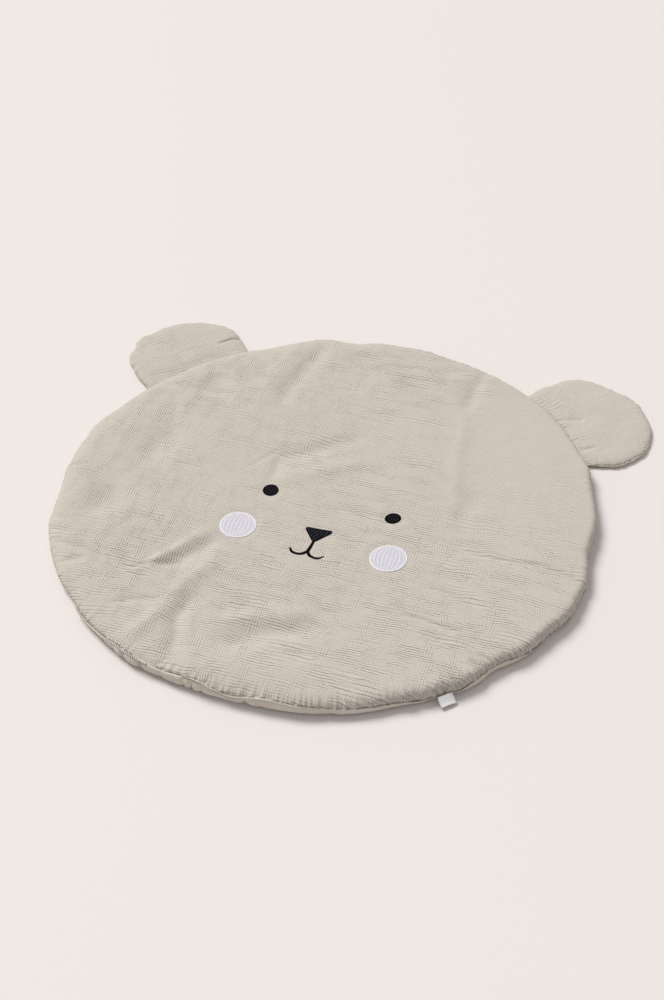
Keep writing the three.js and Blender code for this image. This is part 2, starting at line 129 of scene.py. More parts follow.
# How much of the rim's run is used, by bearing: the right side is stuffed nearly to its edge
run_rows = [
    (0, 0.24), (40, 0.28), (75, 0.5), (110, 0.85), (150, 1), (220, 1), (250, 0.75), (290, 0.42), (325, 0.26),
]


def bell(distance, width):
    return np.exp(-((distance / width) ** 2))


def apart(one, other):
    """The shortest angle between two bearings, in degrees"""
    return (one - other + 180) % 360 - 180


def closed_curve(rows):
    """Reads rows of (bearing, value) as a smooth curve that closes on itself"""
    bearings, values = np.array(rows, float).T
    bearings = np.concatenate([bearings[-2:] - 360, bearings, bearings[:2] + 360])
    values = np.concatenate([values[-2:], values, values[:2]])
    slopes = np.zeros_like(values)
    slopes[1:-1] = (values[2:] - values[:-2]) / (bearings[2:] - bearings[:-2])

    def read(bearing):
        turn = np.mod(bearing, 360)
        low = np.searchsorted(bearings, turn, side="right") - 1
        span = bearings[low + 1] - bearings[low]
        t = (turn - bearings[low]) / span
        rise = values[low] * (2 * t**3 - 3 * t**2 + 1) + values[low + 1] * (3 * t**2 - 2 * t**3)
        lean = slopes[low] * (t**3 - 2 * t**2 + t) + slopes[low + 1] * (t**3 - t**2)
        return rise + lean * span

    return read


def rough(x, y, size, seed=0.0):
    """Smooth noise between about -1 and 1, with lumps of a given size"""
    lumps = [noise.noise((a, b, seed)) for a, b in zip(np.ravel(x / size), np.ravel(y / size))]
    return np.array(lumps).reshape(np.shape(x))


def fold_height(folds, x, y):
    height = np.zeros_like(x)
    for places, width, rise in folds:
        path = np.array(places)
        runs = np.diff(path, axis=0)
        lengths = np.hypot(*runs.T)
        whole = lengths.sum()
        nearest = np.full_like(x, math.inf)
        place = np.zeros_like(x)
        before = 0.0
        for start, run, length in zip(path, runs, lengths):
            along = ((x - start[0]) * run[0] + (y - start[1]) * run[1]) / length**2
            held = np.clip(along, 0, 1)
            away = np.hypot(x - start[0] - held * run[0], y - start[1] - held * run[1])
            closer = away < nearest
            nearest = np.where(closer, away, nearest)
            place = np.where(closer, (before + held * length) / whole, place)
            before += length
        fade = 1 - 0.6 * np.abs(2 * place - 1) ** 3
        height += rise * fade * bell(nearest, width)
    return height


# How hard the gauze was pulled across and up, and so how strongly it creases: a middle, a reach, and the
# two strengths that are added there
plain_pull = (0.6, 0.55)
head_pulls = [
    ((0.06, 0.39), 0.13, 0.75, 0.05), ((-0.14, 0.34), 0.1, 0.05, 0.4),
    ((-0.3, 0.22), 0.13, 0.35, 0.55), ((0.32, 0.24), 0.17, -0.3, -0.28),
    ((-0.42, 0.02), 0.15, -0.1, 0.5), ((-0.2, 0.02), 0.1, -0.1, -0.15),
    ((-0.08, 0.1), 0.08, 0.3, 0.25), ((0.05, 0.03), 0.13, 0.5, 0),
    ((-0.26, -0.16), 0.14, 0.3, 0.5), ((0.18, -0.1), 0.1, 0.35, 0.2),
    ((0.36, -0.12), 0.14, 0.4, -0.05), ((0, -0.24), 0.14, 0.4, 0.1),
    ((-0.12, -0.38), 0.12, 0.4, 0.3), ((0.14, -0.36), 0.14, 0.4, 0),
    ((0.31, -0.3), 0.09, 0.45, 0.18), ((-0.32, -0.28), 0.1, 0.3, 0.3),
]


def pull_strength(pulls, x, y):
    across = np.full_like(x, plain_pull[0])
    up = np.full_like(x, plain_pull[1])
    for middle, reach, more_across, more_up in pulls:
        near = bell(np.hypot(x - middle[0], y - middle[1]), reach)
        across += more_across * near
        up += more_up * near
    return np.stack([across, up], -1)


rim_turns = np.linspace(90, -90, 181)


class Pad(namedtuple("Pad", "centre thickness reach seam rim run_share top floor gather pulls grain")):
    """A padded shape seen from above: its reach and seam by bearing, its rim, its heights by place, and
    how far its gauze is turned, in degrees"""

    def arc_lengths(self):
        """How far along the rim's curve each of the rim's turns lies"""
        upper = rim_turns > 0
        angle = np.radians(np.abs(rim_turns))
        run = np.where(upper, self.rim.top_run, self.rim.bottom_run)
        rise = np.where(upper, 1 - self.rim.widest, self.rim.widest) * self.thickness
        out = run * (np.abs(np.cos(angle)) ** (2 / roundness) - 1)
        up = np.sign(rim_turns) * rise * np.sin(angle) ** (2 / roundness)
        return np.concatenate([[0], np.cumsum(np.hypot(np.diff(out), np.diff(up)))])

    def place(self, bearing, radius):
        angle = np.radians(bearing)
        return self.centre[0] + radius * np.cos(angle), self.centre[1] + radius * np.sin(angle)

    def top_run(self, bearing):
        return np.minimum(self.rim.top_run * self.run_share(bearing), 0.8 * self.reach(bearing))

    def section(self, bearing, turn, shrink=0.0):
        """The place on the rim's curve at a bearing and a turn, or inside it by the shrink"""
        upper = turn > 0
        full = np.where(upper, self.top_run(bearing), self.rim.bottom_run)
        angle = np.radians(np.abs(turn))
        across = np.abs(np.cos(angle)) ** (2 / roundness)
        radius = self.reach(bearing) - full + (full - shrink) * across
        x, y = self.place(bearing, radius)
        floor = self.floor(x, y)
        top = self.top(x, y)
        widest = floor + self.rim.widest * (top - floor)
        rise = np.abs(np.sin(angle)) ** (2 / roundness)
        over = widest + (top - widest - shrink) * rise
        under = widest - (widest - floor - shrink) * rise
        return x, y, np.where(upper, over, under)

    def over(self, share, bearing):
        """Places on the front at shares of the way from the middle to the seam, and their flat places"""
        arcs = self.arc_lengths()
        run = self.top_run(bearing)
        scale = run / self.rim.top_run
        flat_run = self.reach(bearing) - run
        to_seam = np.interp(-self.seam(bearing), -rim_turns, arcs) * scale
        length = share * (flat_run + to_seam)
        turn = np.interp(np.maximum(length - flat_run, 0) / scale, arcs, rim_turns)
        x, y, z = self.section(bearing, turn)
        inner = length < flat_run
        flat_x, flat_y = self.place(bearing, length)
        x = np.where(inner, flat_x, x)
        y = np.where(inner, flat_y, y)
        z = np.where(inner, self.top(x, y), z)
        pinch = self.gather(bearing, flat_run + to_seam - length)
        around = np.radians(bearing)
        turned = around - math.radians(self.grain)
        cloth = np.stack([length * np.cos(turned), length * np.sin(turned)], -1)
        return x - pinch * np.cos(around), y - pinch * np.sin(around), z - pinch * 0.8, cloth


def gathered_seam(depth, reach, seed):
    """Small gathers square to the seam, that fade into the cloth"""

    def gather(bearing, from_seam):
        around = np.radians(bearing) * reach(bearing)
        wave = rough(around, from_seam * 0.12, 0.008, seed)
        valley = bell(wave, 0.2)
        long_wave = rough(around, from_seam * 0.1, 0.028, seed + 9)
        fade = bell(from_seam, 0.015 + 0.012 * np.clip(long_wave + 0.4, 0, 1))
        return depth(bearing) * fade * (valley + 0.7 * long_wave)

    return gather


def uneven_reach(rows, puckers, seed):
    table = closed_curve(rows)

    def reach(bearing):
        length = table(bearing)
        for middle, width, depth in puckers:
            length = length + depth * bell(apart(bearing, middle), width)
        angle = np.radians(bearing)
        ring_x = np.cos(angle)
        ring_y = np.sin(angle)
        wobble = rough(ring_x, ring_y, 0.11, seed) * 0.0016 + rough(ring_x, ring_y, 0.03, seed) * 0.0007
        return length + wobble

    return reach


# Places of the stitched marks, where the thread pulls the gauze down a little: middle, half sizes
Mark = namedtuple("Mark", "name middle half_width half_height turn")
eyes = [
    Mark("eye_left", (-0.109, -0.019), 0.0146, 0.015, 8),
    Mark("eye_right", (0.121, -0.027), 0.015, 0.0128, 35),
]
cheeks = [
    Mark("cheek_left", (-0.137, -0.118), 0.0328, 0.0316, 20),
    Mark("cheek_right", (0.138, -0.123), 0.0335, 0.0308, 40),
]
nose_mark = Mark("nose", (0.0045, -0.101), 0.022, 0.014, 0)
mouth_mark = Mark("mouth", (-0.001, -0.14), 0.03, 0.016, 0)
pulled_depth = 0.0012
pulled_reach = 0.008


def pulled_down(x, y):
    depth = np.zeros_like(x)
    for mark in [*eyes, *cheeks, nose_mark, mouth_mark]:
        across = (x - mark.middle[0]) / mark.half_width
        along = (y - mark.middle[1]) / mark.half_height
        out = (np.hypot(across, along) - 1) * mark.half_width
        depth += pulled_depth * bell(np.maximum(out, 0), pulled_reach)
    return depth


def head_top(x, y):
    """The front's height: folds on lines that drift, slow unevenness in the wadding, and fine ripples"""
    drift_x = x + 0.005 * rough(x, y, 0.07, 3.1)
    drift_y = y + 0.005 * rough(x, y, 0.07, 7.7)
    folds = fold_height(head_folds, drift_x, drift_y)
    swell = 0.0018 * rough(x, y, 0.12, 1.3) + 0.0004 * rough(x, y, 0.042, 2.3)
    ripple = 0.00028 * rough(x * 0.28, y, 0.011, 5.2) * np.clip(rough(x, y, 0.12, 8.8) + 0.35, 0, 1)
    return head_thickness + folds + (swell + ripple) - pulled_down(x, y)


head_reach = uneven_reach(head_reach_rows, head_puckers, 4.0)
head = Pad(
    centre=(0.0, 0.0),
    thickness=head_thickness,
    reach=head_reach,
    seam=closed_curve(head_seam_rows),
    rim=head_rim,
    run_share=closed_curve(run_rows),
    top=head_top,
    floor=lambda x, y: np.zeros_like(x),
    gather=gathered_seam(closed_curve(gather_rows), head_reach, 11.0),
    pulls=head_pulls,
    grain=0,
)


def flat_places(verts):
    return np.array([vert.co[:2] for vert in verts]).T


def grid(across_cells, along_cells, size):
    """A flat grid of cells, and where its vertices lie across and along it"""
    bm = bmesh.new()
    bmesh.ops.create_grid(bm, x_segments=across_cells, y_segments=along_cells, size=size)
    return bm, flat_places(bm.verts)


def round_grid(cells):
    """A grid to bend round: how far out each of its vertices goes, from 0 to 1, and its bearing"""
    bm, (a, b) = grid(cells, cells, 1)
    wide = np.abs(a) >= np.abs(b)
    share = np.where(wide, np.abs(a), np.abs(b))
    safe_a = np.where(a == 0, 1e-9, a)
    safe_b = np.where(b == 0, 1e-9, b)
    from_side = 45 * b / safe_a + np.where(a < 0, 180, 0)
    from_end = 90 - 45 * a / safe_b + np.where(b < 0, 180, 0)
    return bm, share, np.where(wide, from_side, from_end)


def place_at(verts, x, y, z):
    for vert, place in zip(verts, zip(x, y, z)):
        vert.co = place


def add_maps(bm, **maps):
    """Adds the named maps to a mesh, each with a place for every vertex in turn"""
    layers = [bm.loops.layers.uv.new(name) for name in maps]
    places = dict(zip(bm.verts, zip(*maps.values())))
    for face in bm.faces:
        for loop in face.loops:
            for layer, place in zip(layers, places[loop.vert]):
                loop[layer].uv = place


def open_edges(bm):
    return [edge for edge in bm.edges if edge.is_boundary]


def extruded(bm, edges):
    """Draws a wall out of some edges, and gives its new vertices and the edges between them"""
    made = bmesh.ops.extrude_edge_only(bm, edges=edges)["geom"]
    verts = [item for item in made if isinstance(item, bmesh.types.BMVert)]
    new = set(verts)
    drawn = [item for item in made if isinstance(item, bmesh.types.BMEdge)]
    return verts, [edge for edge in drawn if new.issuperset(edge.verts)]


def added(name, data):
    """A new object in the scene"""
    item = bpy.data.objects.new(name, data)
    bpy.context.scene.collection.objects.link(item)
    return item


def finished(name, bm, finish):
    """Turns a bmesh into a smooth-shaded piece that rides on the mat's one body"""
    bmesh.ops.recalc_face_normals(bm, faces=bm.faces)
    mesh = bpy.data.meshes.new(name)
    bm.to_mesh(mesh)
    bm.free()
    mesh.shade_smooth()
    mesh.materials.append(finish)
    piece = added(name, mesh)
    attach(piece, "root")
    return piece


def front_cloth(pad, cells, tuck):
    """The front of a pad: a square of cells bent round, laid over the wadding, and closed underneath.
    The tuck is how far the cloth's edge turns in at the seam."""
    bm, share, bearing = round_grid(cells)
    x, y, z, cloth = pad.over(share, bearing)
    place_at(bm.verts, x, y, z)
    add_maps(bm, cloth=cloth, pull=pull_strength(pad.pulls, x, y))
    edges = open_edges(bm)
    for under_share in (0.0, 0.35, 0.7, 1.0):
        verts, edges = extruded(bm, edges)
        x, y = flat_places(verts)
        around = np.degrees(np.arctan2(y - pad.centre[1], x - pad.centre[0]))
        turn = pad.seam(around) * (1 - under_share) - 90 * under_share
        place_at(verts, *pad.section(around, turn, tuck))
    bmesh.ops.contextual_create(bm, geom=edges)
    return bm


# Materials are made from numbers that can be added and multiplied like any others


class Amount:
    """A shader socket that takes part in sums"""

    def __init__(self, finish, socket):
        self.finish = finish
        self.socket = socket

    def combine(self, operation, first, second=None):
        values = {0: first} if second is None else {0: first, 1: second}
        made = self.finish.node("Math", {"operation": operation}, values)
        return Amount(self.finish, made.outputs[0])

    def __add__(self, other):
        return self.combine("ADD", self, other)

    __radd__ = __add__

    def __sub__(self, other):
        return self.combine("SUBTRACT", self, other)

    def __rsub__(self, other):
        return self.combine("SUBTRACT", other, self)

    def __mul__(self, other):
        return self.combine("MULTIPLY", self, other)

    __rmul__ = __mul__

    def __pow__(self, other):
        return self.combine("POWER", self, other)

    def __abs__(self):
        return self.combine("ABSOLUTE", self)

    def wave(self, length):
        """A wave between -1 and 1, of this length in metres"""
        return self.combine("SINE", self * (2 * math.pi / length))

    def between(self, low, high):
        """0 below low, 1 above high, and smooth between"""
        ranges = {"Value": self, "From Min": low, "From Max": high}
        made = self.finish.node("MapRange", {"interpolation_type": "SMOOTHSTEP"}, ranges)
        return Amount(self.finish, made.outputs["Result"])


class Finish:
    """One material. Every node comes from node(): its type, its settings, and its sockets' values"""

    def __init__(self, name):
        self.material = bpy.data.materials.new(name)
        self.material.use_nodes = True
        self.tree = self.material.node_tree
        self.tree.nodes.clear()

    def node(self, kind, settings=None, sockets=None):
        made = self.tree.nodes.new("ShaderNode" + kind)
        for name, value in (settings or {}).items():
            setattr(made, name, value)
        for name, value in (sockets or {}).items():
            source = value.socket if isinstance(value, Amount) else value
            if isinstance(source, bpy.types.NodeSocket):
                self.tree.links.new(source, made.inputs[name])
            else:
                made.inputs[name].default_value = source
        return made

    def map(self, name):
        """A piece's own map; the one named cloth holds its flat places in metres"""
        return self.node("UVMap", {"uv_map": name}).outputs["UV"]

    def axes(self, vector):
        parts = self.node("SeparateXYZ", None, {"Vector": vector}).outputs
        return Amount(self, parts["X"]), Amount(self, parts["Y"])

    def lumps(self, vector, stretch, detail=1.0, offset=(0.0, 0.0, 0.0)):
        """Noise between 0 and 1, with so many lumps a metre each way"""
        placed = self.node("Mapping", None, {"Vector": vector, "Scale": stretch, "Location": offset})
        sockets = {"Vector": placed.outputs["Vector"], "Scale": 1.0, "Detail": detail, "Roughness": 0.5}
        return Amount(self, self.node("TexNoise", {"noise_dimensions": "3D"}, sockets).outputs["Fac"])

    def blend(self, factor, first, second):
        """A colour between two others"""
        made = self.node("Mix", {"data_type": "RGBA"}, {0: factor, 6: first, 7: second})
        return made.outputs[2]

    def relief(self, height):
        """A normal from a height in metres"""
        return self.node("Bump", None, {"Height": height, "Distance": 1.0}).outputs["Normal"]

    def surface(self, colour, roughness, gloss, height=None, sheen=None):
        """The finished material. The height is its relief, and the sheen is a strength and a roughness."""
        sockets = {"Base Color": colour, "Roughness": roughness, "Specular IOR Level": gloss}
        if height is not None:
            sockets["Normal"] = self.relief(height)
        if sheen:
            sockets["Sheen Weight"], sockets["Sheen Roughness"] = sheen
        shader = self.node("BsdfPrincipled", None, sockets)
        self.node("OutputMaterial", None, {"Surface": shader.outputs["BSDF"]})
        return self.material


# Double gauze is two thin layers tacked together. It dries in a waffle of small puffs parted by fine
# creases, stronger where the cloth was pulled, with bunches of longer ripples across.
up_gap = 0.0043
across_gap = 0.005
ripple_gap = 0.008
crease_depth = 0.00046
crease_sharpness = 2.2
# The gauze's colour runs from its light colour on the puffs towards its dark colour along the creases, where
# the darkening is painted shade
gauze_light = (0.553, 0.511, 0.458, 1)
gauze_dark = (0.245, 0.21, 0.172, 1)


def crinkled_gauze():
    finish = Finish("crinkled_gauze")
    flat = finish.map("cloth")
    right, up = finish.axes(flat)
    across_pull, up_pull = finish.axes(finish.map("pull"))

    def wander(scale, offset):
        return finish.lumps(flat, (scale, scale, 1), 1.0, offset) - 0.5

    def wandered(place, long_offset, short_offset):
        return place + wander(8, long_offset) * 0.022 + wander(50, short_offset) * 0.0044

    def creases(place, gap):
        return (1 - abs(place.wave(2 * gap))) ** crease_sharpness

    up_place = wandered(right, (3.1, 0.4, 0), (1.2, 7.7, 0))
    across_place = wandered(up, (9.7, 5.2, 0), (4.4, 2.1, 0))
    up_spread = finish.lumps(flat, (48, 17, 1), 2.0, (7.3, 1.4, 0)).between(0.36, 0.66)
    across_spread = finish.lumps(flat, (17, 48, 1), 2.0, (2.6, 8.8, 0)).between(0.36, 0.66)
    bunches = finish.lumps(flat, (9, 26, 1), 1.0, (6.1, 3.3, 0)).between(0.52, 0.68)
    speckle = 0.2 + finish.lumps(flat, (210, 210, 1), 2.0, (2.0, 2.0, 0)) * 1.8
    up_strength = up_pull * (0.15 + 1.3 * up_spread)
    across_strength = across_pull * (0.2 + 1.4 * across_spread)
    up_lines = creases(up_place, up_gap) * up_strength * speckle
    across_lines = creases(across_place, across_gap) * across_strength * speckle
    ripples = creases(across_place + wander(30, (0.3, 0.9, 0)) * 0.006, ripple_gap) * bunches * across_pull
    crease = (up_lines + across_lines) * 0.75 + abs(up_lines - across_lines) * 0.35 + ripples * 1.3
    # Spared lifts the colour where the creases are strong, so that their painted shade leaves the cloth's
    # mean tone even
    spared = (up_strength + across_strength + bunches * across_pull) * 0.115
    puffs = finish.lumps(flat, (70, 95, 1), 1.0, (5.5, 0.7, 0)) - 0.5
    crepe = finish.lumps(flat, (620, 620, 1), 1.0) - 0.5
    relief = crepe * 0.00006 + puffs * 0.0006 - crease * crease_depth
    patches = finish.lumps(flat, (9, 9, 1), 2.0, (5.0, 5.0, 0)) - 0.5
    # Painted shade: the colour is darkened along the creases; the patches and the crepe are the cloth's own
    # uneven tone
    shade = 0.84 - crease * 0.44 + spared + patches * 0.06 + crepe * 0.12
    colour = finish.blend(shade, gauze_dark, gauze_light)
    return finish.surface(colour, roughness=0.95, gloss=0.15, height=relief, sheen=(0.08, 0.5))


gauze = crinkled_gauze()
front_cells = 380
front_tuck = 0.0018
front_panel = finished("front_panel_cloth", front_cloth(head, front_cells, front_tuck), gauze)
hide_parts("front_panel")

# The head's back is one round of smooth cotton. It lies flat on the floor, turns up round the wadding
# and is sewn to the gauze at the seam; along the lower edge it stands in a soft roll with short pleats.
# Each pleat has a bearing, width, depth and slant
back_pleats = [
    (236.5, 0.45, 0.0016, 0.4), (239.4, 0.4, 0.003, 0.6), (242.4, 0.5, 0.013, 1.0),
    (246.6, 0.5, 0.0125, 1.0), (251.5, 0.5, 0.0016, 0.4), (256.4, 0.45, 0.0036, 0.2),
    (258.4, 0.4, 0.0042, -0.4), (260.4, 0.4, 0.0022, -0.3), (269.0, 0.7, 0.0038, 1.2),
    (272.5, 0.6, 0.0014, 0.5), (286.0, 0.7, 0.0014, 0.8), (300.5, 0.6, 0.0016, 0.5),
]

# Where the back cloth hangs away from the seam under the zip's flap: bearing, width, depth
back_gaps = [(262.8, 1.8, 0.008), (266.2, 2.0, 0.009)]
back_thickness = 0.0012

# How far under the seam the back cloth starts, in degrees, and what the turn up the rim adds to its cut
under_seam = 1.5
rim_turn_up = 0.02


def carried(verts, values):
    """The value of each new vertex, from the one that it was drawn out of"""
    found = {}
    for vert in verts:
        ends = [end for edge in vert.link_edges for end in edge.verts]
        found[vert] = next(values[end] for end in ends if end in values)
    return found


def back_cloth_sheet(pad, pleats, gaps, segments, rows):
    """The back of a pad: a ring at the seam drawn down the rim, in to the middle and closed"""
    bm = bmesh.new()
    ring = bmesh.ops.create_circle(bm, cap_ends=False, segments=segments, radius=1)["verts"]
    bearings = {vert: math.degrees(math.atan2(vert.co.y, vert.co.x)) for vert in ring}
    edges = list(bm.edges)
    flat = {}

    def lay(verts, drop, in_share):
        bearing = np.array([bearings[vert] for vert in verts])
        turn = (pad.seam(bearing) - under_seam) * (1 - drop) - 90 * drop
        x, y, z = pad.section(bearing, turn)
        body = math.sin(math.pi * min(drop * 1.15, 1.0)) ** 0.7
        dent = np.zeros_like(x)
        for middle, width, depth, slant in pleats:
            dent += depth * bell(apart(bearing, middle + slant * drop), width)
        opening = np.zeros_like(x)
        for middle, width, depth in gaps:
            opening += depth * bell(apart(bearing, middle), width) * bell(drop - 0.05, 0.11)
        angle = np.radians(bearing)
        dent += 0.0007 * rough(angle * 0.5, np.full_like(x, drop * 0.01), 0.017, 21.0)
        radius = np.hypot(x - pad.centre[0], y - pad.centre[1]) - dent * body - opening
        length = (radius + rim_turn_up * (1 - drop)) * in_share
        x, y = pad.place(bearing, radius * in_share)
        if in_share < 1:
            z = pad.floor(x, y)
        place_at(verts, x, y, z)
        flat.update(zip(verts, zip(length * np.cos(angle), length * np.sin(angle))))

    lay(ring, 0.0, 1.0)
    down = [(row / rows, 1.0) for row in range(1, rows + 1)]
    inwards = [(1.0, share) for share in (0.97, 0.8, 0.5, 0.2)]
    for drop, in_share in down + inwards:
        verts, edges = extruded(bm, edges)
        bearings.update(carried(verts, bearings))
        lay(verts, drop, in_share)
    middle = bmesh.ops.contextual_create(bm, geom=edges)["faces"]
    bmesh.ops.poke(bm, faces=middle)
    add_maps(bm, cloth=[flat.get(vert, (0.0, 0.0)) for vert in bm.verts])
    return bm


def thicken(piece, thickness, offset):
    layer = piece.modifiers.new("thickness", "SOLIDIFY")
    layer.thickness = thickness
    layer.offset = offset


cotton_yarn = 0.0007
cotton_dark = (0.57, 0.505, 0.44, 1)
cotton_light = (0.67, 0.605, 0.535, 1)


def smooth_cotton():
    finish = Finish("smooth_cotton")
    flat = finish.map("cloth")
    x, y = finish.axes(flat)
    weave = x.wave(cotton_yarn) * y.wave(cotton_yarn)
    slub = finish.lumps(flat, (300, 900, 1), 2.0) - 0.5
    soft = finish.lumps(flat, (40, 40, 1), 2.0) - 0.5
    shade = finish.lumps(flat, (12, 12, 1), 2.0).between(0.3, 0.7)
    colour = finish.blend(shade * 0.6 + 0.3, cotton_dark, cotton_light)
    relief = weave * 0.00002 + slub * 0.00006 + soft * 0.0005
    return finish.surface(colour, roughness=0.8, gloss=0.3, height=relief, sheen=(0.1, 0.5))


def cut_area(pad):
    """The flat area of a pad's back, from its reach and the height of its rim"""
    bearing = np.arange(0, 360, 1.0)
    cut = pad.reach(bearing) + 0.4 * pad.rim.bottom_run
    return float(np.sum(cut**2) / 2 * math.radians(1))


cotton = smooth_cotton()
back_sheet = back_cloth_sheet(head, back_pleats, back_gaps, segments=1200, rows=14)
back_panel = finished("back_panel_cloth", back_sheet, cotton)
thicken(back_panel, back_thickness, -1)
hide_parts("back_panel")
cut_area(head)

# The ears are small flat pads of the same gauze, turned so that its long ripples run slantwise. Their
# open roots are gathered into the head's seam, which lifts them a little off the floor there.
off_seam = 0.004
right_ear_seam = [head.place(turn, head.reach(turn) + off_seam) for turn in (53, 50, 46, 42, 38)]
left_reach_rows = [
    (21, 0.125), (33, 0.121), (45, 0.12), (56, 0.122), (66, 0.12), (74, 0.117), (81, 0.113),
    (88, 0.111), (96, 0.108), (104, 0.105), (112, 0.105), (120, 0.105), (129, 0.102), (137, 0.103),
    (147, 0.102), (157, 0.105), (163, 0.11), (173, 0.1135), (185, 0.109), (197, 0.114),
    (208, 0.114), (219, 0.112), (231, 0.114), (244, 0.118), (254, 0.125), (285, 0.14),
    (315, 0.14), (345, 0.14),
]
left_folds = [
    ([(-0.308, 0.414), (-0.33, 0.4), (-0.352, 0.377)], 0.003, -0.0036),
    ([(-0.322, 0.426), (-0.35, 0.4)], 0.01, 0.0008),
    ([(-0.444, 0.348), (-0.396, 0.312)], 0.02, -0.002),
    ([(-0.474, 0.28), (-0.385, 0.262)], 0.02, 0.0018),
    ([(-0.38, 0.303), (-0.33, 0.332)], 0.012, -0.0026),
    ([(-0.5, 0.332), (-0.478, 0.3)], 0.01, -0.0018),
]
right_reach_rows = [
    (7, 0.116), (17, 0.112), (28, 0.11), (38, 0.11), (49, 0.109), (58, 0.107), (66, 0.104),
    (75, 0.105), (83, 0.107), (91, 0.111), (98, 0.116), (105, 0.119), (111, 0.122), (118, 0.122),
    (125, 0.123), (134, 0.12), (141, 0.122), (148, 0.126), (157, 0.129), (165, 0.132),
    (195, 0.142), (225, 0.142), (255, 0.14), (279, 0.129), (305, 0.134), (312, 0.132),
    (321, 0.131), (329, 0.131), (338, 0.127), (347, 0.123), (357, 0.12),
]
right_folds = [
    ([(0.372, 0.35), (0.404, 0.352)], 0.018, -0.0026),
    ([(0.39, 0.4), (0.47, 0.43)], 0.03, 0.001),
    ([(0.35, 0.336), (0.4, 0.356)], 0.006, -0.0016),
    ([(0.372, 0.3), (0.44, 0.322)], 0.018, 0.0014),
    ([(0.408, 0.266), (0.436, 0.282)], 0.004, -0.0036),
    (right_ear_seam, 0.0042, -0.0135),
]
left_pulls = [((-0.38, 0.27), 0.09, 0.45, 0), ((-0.43, 0.35), 0.06, 0.1, 0.15)]
right_pulls = [((0.34, 0.33), 0.05, 0.5, -0.1), ((0.46, 0.38), 0.1, -0.18, -0.16)]
left_seam_rows = [(0, 0), (180, 0)]
right_seam_rows = [(0, 6), (60, 0), (180, 0), (280, 4), (310, 10), (330, 10)]
Ear = namedtuple("Ear", "side centre reach_rows seam_rows folds pulls")
ears = [
    Ear("left", (-0.405, 0.33), left_reach_rows, left_seam_rows, left_folds, left_pulls),
    Ear("right", (0.412, 0.362), right_reach_rows, right_seam_rows, right_folds, right_pulls),
]
ear_thickness = 0.013
ear_root_thickness = 0.0065
ear_root_lift = 0.004
ear_root_reach = 0.055
ear_rim = Rim(0.42, 0.03, 0.014)
ear_tuck = 0.003
ear_grain = 40
ear_gathers = [(0, 0.0008), (90, 0.0006), (180, 0.0009), (270, 0.001)]


def beyond_head(x, y):
    """How far a place lies outside the head's rim"""
    bearing = np.degrees(np.arctan2(y, x))
    return np.hypot(x, y) - head.reach(bearing)


def ear_reach(ear, seed):
    outer = uneven_reach(ear.reach_rows, (), seed)
    bearings = np.arange(0, 361, 0.5)
    lengths = np.arange(0.02, 0.16, 0.0005)
    around = np.radians(bearings)[:, None]
    x = ear.centre[0] + lengths * np.cos(around)
    y = ear.centre[1] + lengths * np.sin(around)
    within = beyond_head(x, y) < -ear_tuck
    to_head = np.where(within.any(1), lengths[within.argmax(1)], lengths[-1])
    reaches = np.minimum(outer(bearings), to_head)
    return lambda bearing: np.interp(np.mod(bearing, 360), bearings, reaches)


def root_share(x, y):
    """1 at the head's rim, 0 where the ear lies flat on the floor"""
    away = np.clip(beyond_head(x, y) / ear_root_reach, 0, 1)
    return 1 - away * away * (3 - 2 * away)


def ear_floor(x, y):
    return ear_root_lift * root_share(x, y)


def ear_top(folds):
    def top(x, y):
        root = root_share(x, y)
        lumps = 0.0006 * rough(x, y, 0.05, 31.0) + 0.0003 * rough(x, y, 0.02, 37.0)
        shape = fold_height(folds, x, y) + lumps
        along_root = np.arctan2(y, x) * 0.5
        away = beyond_head(x, y)
        gathers = 0.0013 * rough(along_root, away * 0.1, 0.008, 41.0) * bell(np.maximum(away, 0), 0.016)
        thickness = ear_thickness + (ear_root_thickness - ear_thickness) * root
        return ear_floor(x, y) + thickness + shape * (1 - 0.6 * root) + gathers

    return top


ear_cells = 130
ear_front_tuck = 0.002
for seed, ear in enumerate(ears):
    reach = ear_reach(ear, 50.0 + seed)
    pad = Pad(
        centre=ear.centre,
        thickness=ear_thickness,
        reach=reach,
        seam=closed_curve(ear.seam_rows),
        rim=ear_rim,
        run_share=closed_curve([(0, 1), (180, 1)]),
        top=ear_top(ear.folds),
        floor=ear_floor,
        gather=gathered_seam(closed_curve(ear_gathers), reach, 61.0 + seed),
        pulls=ear.pulls,
        grain=ear_grain,
    )
    front_name = f"ear_{ear.side}_cloth"
    front = finished(front_name, front_cloth(pad, ear_cells, ear_front_tuck), gauze)
    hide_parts(f"ear_{ear.side}")
    back_sheet = back_cloth_sheet(pad, (), (), segments=480, rows=6)
    back = finished(f"ear_{ear.side}_back_cloth", back_sheet, cotton)
    thicken(back, back_thickness, -1)
    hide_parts(f"ear_{ear.side}_back")
    cut_area(pad)

# The eyes are solid satin stitch in black thread and the cheeks rows of white thread that curve one
# beside the next, each inside a raised satin rim. All are sewn through the gauze.
Stitching = namedtuple("Stitching", "row_gap row_depth rim_width rim_depth rows")


def rows_between_poles(mark):
    """Rows that meet at the top and bottom, as lines of longitude do, in metres from the middle one"""

    def rows(across, along):
        height = np.clip(np.abs(along) / mark.half_height, 0, 0.93)
        return across / np.sqrt(1 - height**2)

    return rows


def rows_about(place):
    """Rows that curve about a place"""
    return lambda across, along: np.hypot(across - place[0], along - place[1])


eye_rows = Stitching(row_gap=0.0056, row_depth=0.00025, rim_width=0.003, rim_depth=0.0005, rows=None)
cheek_rows = Stitching(row_gap=0.0073, row_depth=0.00035, rim_width=0.003, rim_depth=0.0005, rows=None)

# How far thread stands above the gauze and goes into it, over how much of a patch's edge it rounds off
# and drops, and how far apart its stitches lie
thread_lift = 0.0007
thread_sink = 0.0012
rounded_edge = 0.0009
dropped_edge = 0.0006
edge_drop = 0.0005
stitch_gap = 0.00045
thread_rim_ends = (0.0026, 0.0034)


